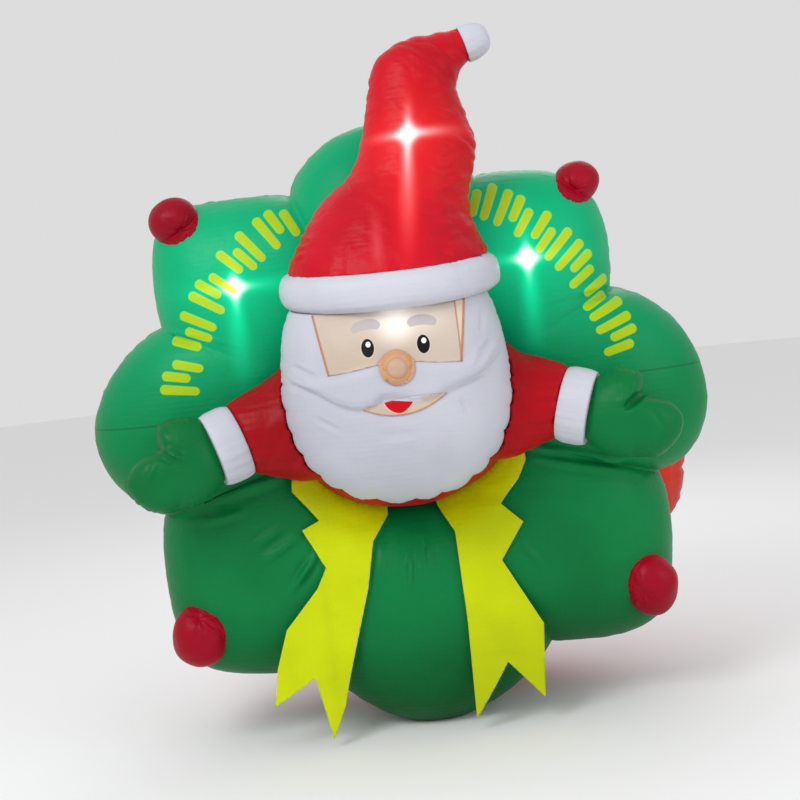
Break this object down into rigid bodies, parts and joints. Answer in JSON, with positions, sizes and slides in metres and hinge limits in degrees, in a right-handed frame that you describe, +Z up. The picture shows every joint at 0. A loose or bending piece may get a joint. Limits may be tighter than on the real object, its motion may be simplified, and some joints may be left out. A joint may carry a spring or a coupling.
{
  "type": "inflatable christmas wreath",
  "caption": "Blown-up lobed wreath with a bearded gift-bringer leaning out of its middle, arms wide, and loose ribbons hanging below.",
  "frame": {"origin": "middle of the flat foot under the wreath's lowest lobe, on the ground", "axes": "+Z up, -Y the way the figure faces, +X to the right seen from the front"},
  "size_m": [1.3707, 1.0175, 1.4932],
  "materials": {
    "green_cloth": "thin woven nylon, lit from inside",
    "berry_cloth": "thin woven nylon",
    "red_cloth": "thin woven nylon, lit from inside",
    "white_cloth": "thin woven nylon",
    "skin_cloth": "thin woven nylon",
    "yellow_cloth": "loose woven nylon"
  },
  "bodies": {
    "root": {"wreath": "green_cloth", "berry_top_left": "berry_cloth", "berry_top_right": "berry_cloth", "berry_bottom_left": "berry_cloth", "berry_bottom_right": "berry_cloth", "coat": "red_cloth", "figure_back": "red_cloth", "hat": "red_cloth", "hat_brim": "white_cloth", "hat_tip": "white_cloth", "head": "white_cloth", "cuff_left": "white_cloth", "cuff_right": "white_cloth", "face_panel": "skin_cloth", "mouth_panel": "skin_cloth", "nose": "skin_cloth", "mitten_left": "green_cloth", "mitten_right": "green_cloth", "ribbon_left": "yellow_cloth", "ribbon_right": "yellow_cloth"}
  },
  "joints": []
}
